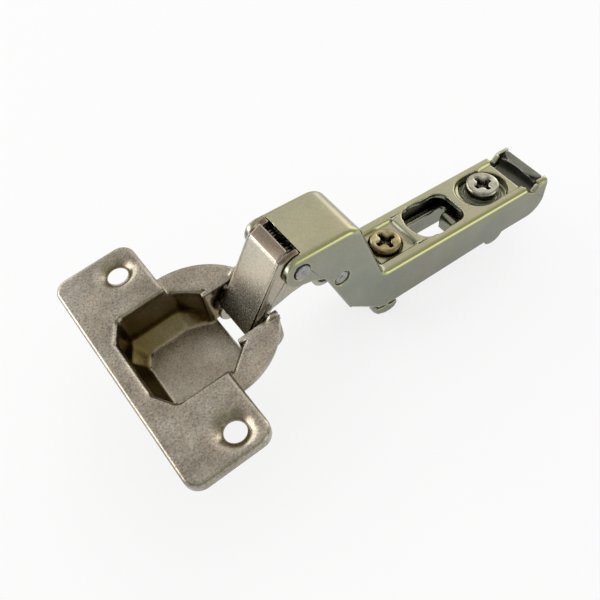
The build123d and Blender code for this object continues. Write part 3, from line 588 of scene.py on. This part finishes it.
def makeWoundWire():  # one wire: a straight leg, a coil about the Y direction, and a second leg
    tree, given, result = newShape("woundWire", {
        **metres({"Coil Radius": 2.0, "Wire Radius": 0.4, "Rise": 3.0,
                  "First Leg": 4.0, "Last Leg": 4.0}),
        "Turns": 3.0, "Start Angle": 0.0, "Points": 120, "Wire Sides": 10,
    })
    coilRadius = given["Coil Radius"]
    wound = maths(tree, "MULTIPLY", given["Turns"], 2 * pi)
    coilLength = maths(tree, "MULTIPLY", wound, coilRadius)
    legs = maths(tree, "ADD", given["First Leg"], given["Last Leg"])
    whole = maths(tree, "ADD", coilLength, legs)
    index = addNode(tree, "GeometryNodeInputIndex").outputs["Index"]
    share = maths(tree, "DIVIDE", index, maths(tree, "SUBTRACT", given["Points"], 1.0))
    along = maths(tree, "SUBTRACT", maths(tree, "MULTIPLY", share, whole), given["First Leg"])
    onCoil = maths(tree, "MINIMUM", maths(tree, "MAXIMUM", along, 0.0), coilLength)
    onLeg = maths(tree, "SUBTRACT", along, onCoil)
    turned = maths(tree, "DIVIDE", onCoil, coilRadius)
    angle = maths(tree, "ADD", turned, given["Start Angle"])
    cosine, sine = maths(tree, "COSINE", angle), maths(tree, "SINE", angle)
    rise = maths(tree, "MULTIPLY", maths(tree, "DIVIDE", onCoil, coilLength), given["Rise"])
    x = maths(tree, "SUBTRACT", maths(tree, "MULTIPLY", coilRadius, cosine),
              maths(tree, "MULTIPLY", onLeg, sine))
    z = maths(tree, "ADD", maths(tree, "MULTIPLY", coilRadius, sine),
              maths(tree, "MULTIPLY", onLeg, cosine))
    path = curveThrough(tree, given["Points"], vector(tree, x, rise, z))
    section = circle(tree, given["Wire Radius"], given["Wire Sides"])
    endShape(tree, sweep(tree, path, section, capped=True), given, result)
    return tree


ringCutting = {
    "sides": 96,
    "edgeRound": 0.06,  # mm
    "toothFoot": 0.70711,  # from its middle to a corner, for a foot one unit wide
    "toothTop": 0.25,
}


def makeToothedRing():  # a flat ring about the Z direction, with teeth standing round its rim
    tree, given, result = newShape("toothedRing", {
        **metres({"Outer Radius": 5.2, "Hole Radius": 2.15, "Thickness": 0.5,
                  "Tooth Length": 1.2, "Tooth Width": 0.3, "Tooth Rise": 0.3}),
        "Teeth": 60,
    })
    outer, hole, thickness = given["Outer Radius"], given["Hole Radius"], given["Thickness"]
    middle = maths(tree, "MULTIPLY", maths(tree, "ADD", outer, hole), 0.5)
    section = addNode(tree, "GeometryNodeCurvePrimitiveQuadrilateral",
                      {"Width": maths(tree, "SUBTRACT", outer, hole), "Height": thickness})
    rounded = addNode(tree, "GeometryNodeFilletCurve", {
        "Curve": section.outputs["Curve"], "Radius": metres(ringCutting["edgeRound"]),
    }, mode="BEZIER")
    ring = sweep(tree, circle(tree, middle, ringCutting["sides"]), rounded.outputs["Curve"])

    halfTooth = maths(tree, "MULTIPLY", given["Tooth Length"], 0.5)
    rim = addNode(tree, "GeometryNodeMeshCircle", {
        "Vertices": given["Teeth"], "Radius": maths(tree, "SUBTRACT", outer, halfTooth),
    }, fill_type="NONE")
    tooth = addNode(tree, "GeometryNodeMeshCone", {
        "Vertices": 4, "Radius Top": ringCutting["toothTop"],
        "Radius Bottom": ringCutting["toothFoot"], "Depth": 1.0,
    }, fill_type="NGON")
    square = addNode(tree, "GeometryNodeTransform",
                     {"Geometry": tooth.outputs["Mesh"], "Rotation": (0, 0, pi / 4)})
    around = addNode(tree, "GeometryNodeInputPosition").outputs["Position"]
    parts = addNode(tree, "ShaderNodeSeparateXYZ", {"Vector": around}).outputs
    heading = maths(tree, "ARCTAN2", parts["Y"], parts["X"])
    toothSize = vector(tree, given["Tooth Length"], given["Tooth Width"], given["Tooth Rise"])
    standing = addNode(tree, "GeometryNodeInstanceOnPoints", {
        "Points": rim.outputs["Mesh"], "Instance": square.outputs["Geometry"],
        "Rotation": vector(tree, 0.0, 0.0, heading), "Scale": toothSize,
    })
    onTop = vector(tree, 0.0, 0.0, maths(tree, "MULTIPLY", thickness, 0.5))
    teeth = addNode(tree, "GeometryNodeTransform",
                    {"Geometry": standing.outputs["Instances"], "Translation": onTop})
    joined = addNode(tree, "GeometryNodeJoinGeometry")
    for part in (teeth.outputs["Geometry"], ring):
        feed(tree, part, joined.inputs["Geometry"])
    endShape(tree, joined.outputs["Geometry"], given, result)
    return tree


bridgeSides = 10


def makePairedSpring(woundWire):  # two mirrored coils of one wire, joined by a bridge
    coilInputs = {
        **metres({"Coil Radius": 2.0, "Wire Radius": 0.4, "First Leg": 1.2, "Last Leg": 2.8}),
        "Turns": 3.25, "Start Angle": 0.0,
    }
    tree, given, result = newShape("pairedSpring", {
        **coilInputs, **metres({"Outer Side": 4.2, "Inner Side": 1.2}),
        "Bridge": "NodeSocketVector",
    })
    outerSide, innerSide = given["Outer Side"], given["Inner Side"]
    coil = addNode(tree, "GeometryNodeGroup", {
        **{label: given[label] for label in (*coilInputs, "Finish")},
        "Rise": maths(tree, "SUBTRACT", innerSide, outerSide),
        "Place": vector(tree, 0.0, outerSide, 0.0),
    }, node_tree=woundWire)
    mirrored = addNode(tree, "GeometryNodeTransform",
                       {"Geometry": coil.outputs["Geometry"], "Scale": (1, -1, 1)})
    other = addNode(tree, "GeometryNodeFlipFaces", {"Mesh": mirrored.outputs["Geometry"]})
    across = maths(tree, "ADD", innerSide, given["Wire Radius"])
    ends = []
    for way in (1.0, -1.0):
        aside = vector(tree, 0.0, maths(tree, "MULTIPLY", across, way), 0.0)
        end = addNode(tree, "ShaderNodeVectorMath", {0: given["Bridge"], 1: aside},
                      operation="ADD")
        ends.append(end.outputs["Vector"])
    line = addNode(tree, "GeometryNodeCurvePrimitiveLine", {"Start": ends[0], "End": ends[1]})
    section = circle(tree, given["Wire Radius"], bridgeSides)
    bridge = sweep(tree, line.outputs["Curve"], section, capped=True)
    joined = addNode(tree, "GeometryNodeJoinGeometry")
    for part in (coil.outputs["Geometry"], other.outputs["Mesh"], bridge):
        feed(tree, part, joined.inputs["Geometry"])
    endShape(tree, joined.outputs["Geometry"], given, result)
    return tree


turnedPin = makeTurnedPin()
woundWire = makeWoundWire()
pairedSpring = makePairedSpring(woundWire)
toothedRing = makeToothedRing()

plainPin = dict(shank=1.25, head=1.25, half=8.0, height=0.5, brokenEdge=0.2,
                punch=0.3, punchDepth=0.25)
pins = {  # mm
    "outerLinkRivet": dict(plainPin, node="outer_link_rivet", place=(-36.7, 0, 21.8),
                           shank=1.5, head=1.8, height=1.1, punch=0.45),
    "innerLinkRivet": dict(plainPin, node="inner_link_rivet", place=(-26.3, 0, 12.6),
                           shank=1.5, head=1.6, half=7.45, height=0.55, punch=0.45),
    "cupFrontPin": dict(plainPin, node="cup_front_pin", place=(-47.39, 0, 5.02)),
    "cupRearPin": dict(plainPin, node="cup_rear_pin", place=(-44.64, 0, 9.05)),
    "leverPin": dict(plainPin, node="lever_pin", place=(33.0, 0, -2.6),
                     shank=1.2, head=1.2, half=5.95),
}
for pieceName, size in pins.items():
    grow(pieceName, turnedPin, metres({
        "Shank Radius": size["shank"], "Head Radius": size["head"],
        "Half Length": size["half"], "Head Height": size["height"],
        "Broken Edge": size["brokenEdge"], "Punch Radius": size["punch"],
        "Punch Depth": size["punchDepth"], "Place": size["place"],
    }), "brightPin", size["node"])
print("pins and rivets turned")

washer = {  # mm
    "place": (23.0, 0, 3.0), "outer": 5.2, "hole": 2.15, "thickness": 0.5,
    "teeth": 48, "toothLength": 1.2, "toothWidth": 0.3, "toothRise": 0.5,
}
grow("toothedWasher", toothedRing, {
    **metres({
        "Outer Radius": washer["outer"], "Hole Radius": washer["hole"],
        "Thickness": washer["thickness"], "Tooth Length": washer["toothLength"],
        "Tooth Width": washer["toothWidth"], "Tooth Rise": washer["toothRise"],
        "Place": washer["place"],
    }),
    "Teeth": washer["teeth"],
}, "washerSteel", "toothed_washer")
print("washer cut")

closingSpring = {  # mm; its legs and its bridge lean as the outer link does
    "place": (-36.7, 0, 21.8), "linkDegrees": 57.5, "coilRadius": 2.125, "wire": 0.82,
    "turns": 3.25, "outerSide": 4.155, "innerSide": 1.3, "freeLeg": 1.2, "bridgeLeg": 2.795,
}
lean = radians(closingSpring["linkDegrees"])
coil, leg = closingSpring["coilRadius"], closingSpring["bridgeLeg"]
grow("torsionSpring", pairedSpring, {
    **metres({
        "Coil Radius": coil, "Wire Radius": closingSpring["wire"] / 2,
        "Outer Side": closingSpring["outerSide"], "Inner Side": closingSpring["innerSide"],
        "First Leg": closingSpring["freeLeg"], "Last Leg": leg,
        "Bridge": (coil * cos(lean) - leg * sin(lean), 0.0, coil * sin(lean) + leg * cos(lean)),
        "Place": closingSpring["place"],
    }),
    "Turns": closingSpring["turns"], "Start Angle": lean - pi / 2,
}, "springSteel", "torsion_spring")

returnSpring = {  # mm
    "place": (33.0, -1.4, -2.6), "coilRadius": 1.67, "wire": 0.62,
    "turns": 4.5, "rise": 2.8, "topLeg": 5.2, "bottomLeg": 2.0,
}
grow("leverSpring", woundWire, {
    **metres({
        "Coil Radius": returnSpring["coilRadius"], "Wire Radius": returnSpring["wire"] / 2,
        "Rise": returnSpring["rise"], "First Leg": returnSpring["bottomLeg"],
        "Last Leg": returnSpring["topLeg"], "Place": returnSpring["place"],
    }),
    "Turns": returnSpring["turns"], "Start Angle": -pi / 2,
}, "springSteel", "lever_spring")
print("springs wound")

studio = {
    "floorZ": -12.75, "floorSize": 1200.0,  # mm
    "floorColour": (0.95, 0.95, 0.95), "paperGlow": 0.78,
    "sky": (1.0, 1.0, 0.99), "skyLevel": 0.78,
}
sideWindow = {
    "place": (-320, 225, 50), "target": (-40, 0, 5), "size": (260, 90),  # mm
    "power": 0.22,  # watts
}
glows = {  # starts and full are cosines of the angle off the middle of a glow
    "softbox": dict(toward=(0.60, 0.48, 0.62), gain=0.62, starts=0.80, full=0.95),
    "leftWindow": dict(toward=(-0.82, 0.57, 0.08), gain=2.2, starts=0.90, full=0.985),
    "rightWindow": dict(toward=(0.93, 0.30, 0.20), gain=1.7, starts=0.90, full=0.98),
    "backStrip": dict(toward=(-0.25, 0.92, 0.28), gain=1.8, starts=0.93, full=0.985),
    "nearWall": dict(toward=(0.35, -0.88, 0.25), gain=-0.28, starts=0.45, full=0.85),
    "leftWall": dict(toward=(-0.80, -0.45, 0.35), gain=-0.35, starts=0.75, full=0.95),
    "nearStrip": dict(toward=(0.56, -0.81, 0.15), gain=1.35, starts=0.94, full=0.985),
}


def seenDirectly(tree):  # 1 where the camera, a reflection or clear plastic looks at it
    ray = addNode(tree, "ShaderNodeLightPath").outputs
    total = maths(tree, "ADD", ray["Is Camera Ray"], ray["Is Glossy Ray"])
    return maths(tree, "ADD", total, ray["Is Transmission Ray"], clamp=True)


def makeFloor():
    half, z = metres(studio["floorSize"]) / 2, metres(studio["floorZ"])
    corners = [(-half, -half, z), (half, -half, z), (half, half, z), (-half, half, z)]
    mesh = bpy.data.meshes.new("floor")
    mesh.from_pydata(corners, [], [(0, 1, 2, 3)])
    floor = newObject("floor", mesh)
    material = bpy.data.materials.new("paperFloor")
    material.use_nodes = True
    tree = material.node_tree
    tree.nodes.clear()
    paper = addNode(tree, "ShaderNodeBsdfDiffuse", {"Color": (*studio["floorColour"], 1)})
    glow = addNode(tree, "ShaderNodeEmission", {"Strength": 1.0})
    both = addNode(tree, "ShaderNodeMixShader", {
        "Fac": maths(tree, "MULTIPLY", seenDirectly(tree), studio["paperGlow"]),
        1: paper.outputs["BSDF"], 2: glow.outputs["Emission"],
    })
    addNode(tree, "ShaderNodeOutputMaterial", {"Surface": both.outputs["Shader"]})
    mesh.materials.append(material)


def hangSideWindow():
    data = bpy.data.lights.new("sideWindow", "AREA")
    data.shape = "RECTANGLE"
    data.size, data.size_y = metres(sideWindow["size"])
    data.energy = sideWindow["power"]
    lamp = newObject("sideWindow", data)
    lamp.location = metres(sideWindow["place"])
    aim = Vector(metres(sideWindow["target"])) - lamp.location
    lamp.rotation_euler = aim.to_track_quat("-Z", "Y").to_euler()


def makeWorld():
    world = bpy.data.worlds.new("studio")
    bpy.context.scene.world = world
    world.use_nodes = True
    tree = world.node_tree
    tree.nodes.clear()
    toward = addNode(tree, "ShaderNodeTexCoord").outputs["Generated"]
    strength = studio["skyLevel"]
    for glow in glows.values():
        middle = Vector(glow["toward"]).normalized()
        near = addNode(tree, "ShaderNodeVectorMath", {0: toward, 1: middle},
                       operation="DOT_PRODUCT").outputs["Value"]
        lobe = mapRange(tree, near, glow["starts"], glow["full"], 0.0, glow["gain"], smooth=True)
        strength = maths(tree, "ADD", strength, lobe)
    sky = addNode(tree, "ShaderNodeBackground",
                  {"Color": (*studio["sky"], 1), "Strength": strength})
    white = addNode(tree, "ShaderNodeBackground", {"Color": (1, 1, 1, 1)})
    pick = addNode(tree, "ShaderNodeMixShader", {
        "Fac": addNode(tree, "ShaderNodeLightPath").outputs["Is Camera Ray"],
        1: sky.outputs["Background"], 2: white.outputs["Background"],
    })
    addNode(tree, "ShaderNodeOutputWorld", {"Surface": pick.outputs["Shader"]})


makeFloor()
hangSideWindow()
makeWorld()
bpy.context.scene.view_settings.view_transform = "Standard"
print("studio lit")
